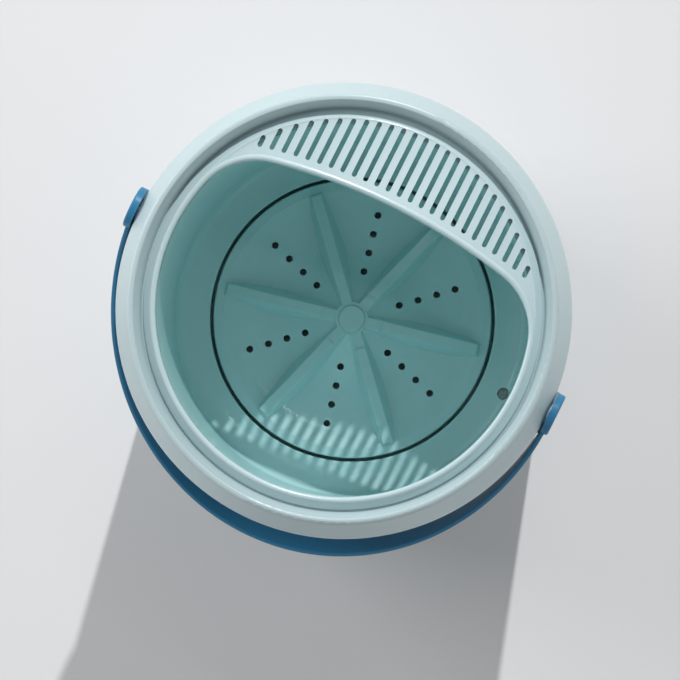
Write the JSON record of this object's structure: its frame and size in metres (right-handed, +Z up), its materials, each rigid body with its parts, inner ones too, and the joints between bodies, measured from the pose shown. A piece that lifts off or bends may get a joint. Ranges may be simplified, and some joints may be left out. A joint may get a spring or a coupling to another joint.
{
  "type": "mini washing machine",
  "caption": "Small round top-loading washing machine: bucket-shaped casing, open tub with a ribbed pulsator, pour-out strainer in the rim, carrying bail and front push buttons.",
  "frame": {"origin": "on the tub's vertical axis, at the surface that the rubber feet stand on", "axes": "+Z up; +X along the bail handle's pivots, to the machine's right as seen from the front; +Y to the pour-out strainer at the back, with the control panel facing -Y"},
  "size_m": [0.29, 0.2916, 0.33],
  "materials": {
    "body_plastic": "glossy pale mint moulded plastic",
    "tub_plastic": "glossy mint moulded plastic",
    "base_plastic": "satin moulded plastic",
    "handle_plastic": "satin dark blue moulded plastic",
    "button_plastic": "glossy pale moulded plastic",
    "black_plastic": "moulded black plastic",
    "clear_plastic": "clear moulded plastic",
    "rubber": "moulded rubber",
    "belt_rubber": "moulded rubber belt",
    "screw_steel": "zinc plated",
    "shaft_steel": "ground steel",
    "plate_steel": "galvanised sheet",
    "cast_aluminium": "die cast",
    "motor_paint": "black painted can",
    "circuit_board": "green laminate"
  },
  "bodies": {
    "root": {"top_rim": "body_plastic", "outer_casing": "body_plastic", "base_cover": "base_plastic", "rubber_feet": "rubber", "base_screws": "screw_steel", "rim_screws": "screw_steel", "strainer_ring": "body_plastic", "tub_gasket": "rubber", "wash_tub": "tub_plastic", "tub_lens": "clear_plastic", "lamp_board": "circuit_board", "shaft_seal": "rubber", "upper_bearing": "shaft_steel", "lower_bearing": "shaft_steel", "bearing_housing": "cast_aluminium", "housing_screws": "screw_steel", "motor_plate": "plate_steel", "plate_screws": "screw_steel", "motor": "motor_paint", "motor_screws": "screw_steel", "drive_belt": "belt_rubber", "pivot_pin_left": "shaft_steel", "pivot_pin_right": "shaft_steel", "control_panel": "handle_plastic", "indicator_lights": "clear_plastic", "control_board": "circuit_board", "board_screws": "screw_steel", "power_inlet": "black_plastic", "inlet_nut": "black_plastic"},
    "handle": {"handle": "handle_plastic", "handle_cap_left": "handle_plastic", "handle_cap_right": "handle_plastic"},
    "pulsator": {"pulsator": "tub_plastic", "hub_cap": "tub_plastic", "pulsator_screw": "screw_steel", "drive_shaft": "shaft_steel", "drive_pulley": "black_plastic", "pulley_nut": "screw_steel"},
    "rotor": {"motor_shaft": "shaft_steel", "motor_pulley": "black_plastic"},
    "power_button": {"power_button": "button_plastic"},
    "mode_button": {"mode_button": "button_plastic"}
  },
  "joints": [
    {"name": "handle_swing", "type": "hinge", "parent": "root", "child": "handle", "pos_m": [0, 0, 0.301], "axis": [-1, 0, 0], "range_deg": [0, 258]},
    {"name": "pulsator_spin", "type": "hinge", "parent": "root", "child": "pulsator", "pos_m": [0, 0, 0.155], "axis": [0, 0, 1], "continuous": true},
    {"name": "motor_spin", "type": "hinge", "parent": "root", "child": "rotor", "pos_m": [0, 0.066, 0.05], "axis": [0, 0, 1], "continuous": true},
    {"name": "power_press", "type": "slide", "parent": "root", "child": "power_button", "axis": [0, 0.9988, 0.0483], "range_m": [0, 0.0012], "stiffness_N_per_m": 600},
    {"name": "mode_press", "type": "slide", "parent": "root", "child": "mode_button", "axis": [0, 0.9988, 0.0483], "range_m": [0, 0.0012], "stiffness_N_per_m": 600}
  ],
  "couplings": [
    {"joint": "motor_spin", "follows": "pulsator_spin", "ratio": 3.56}
  ]
}
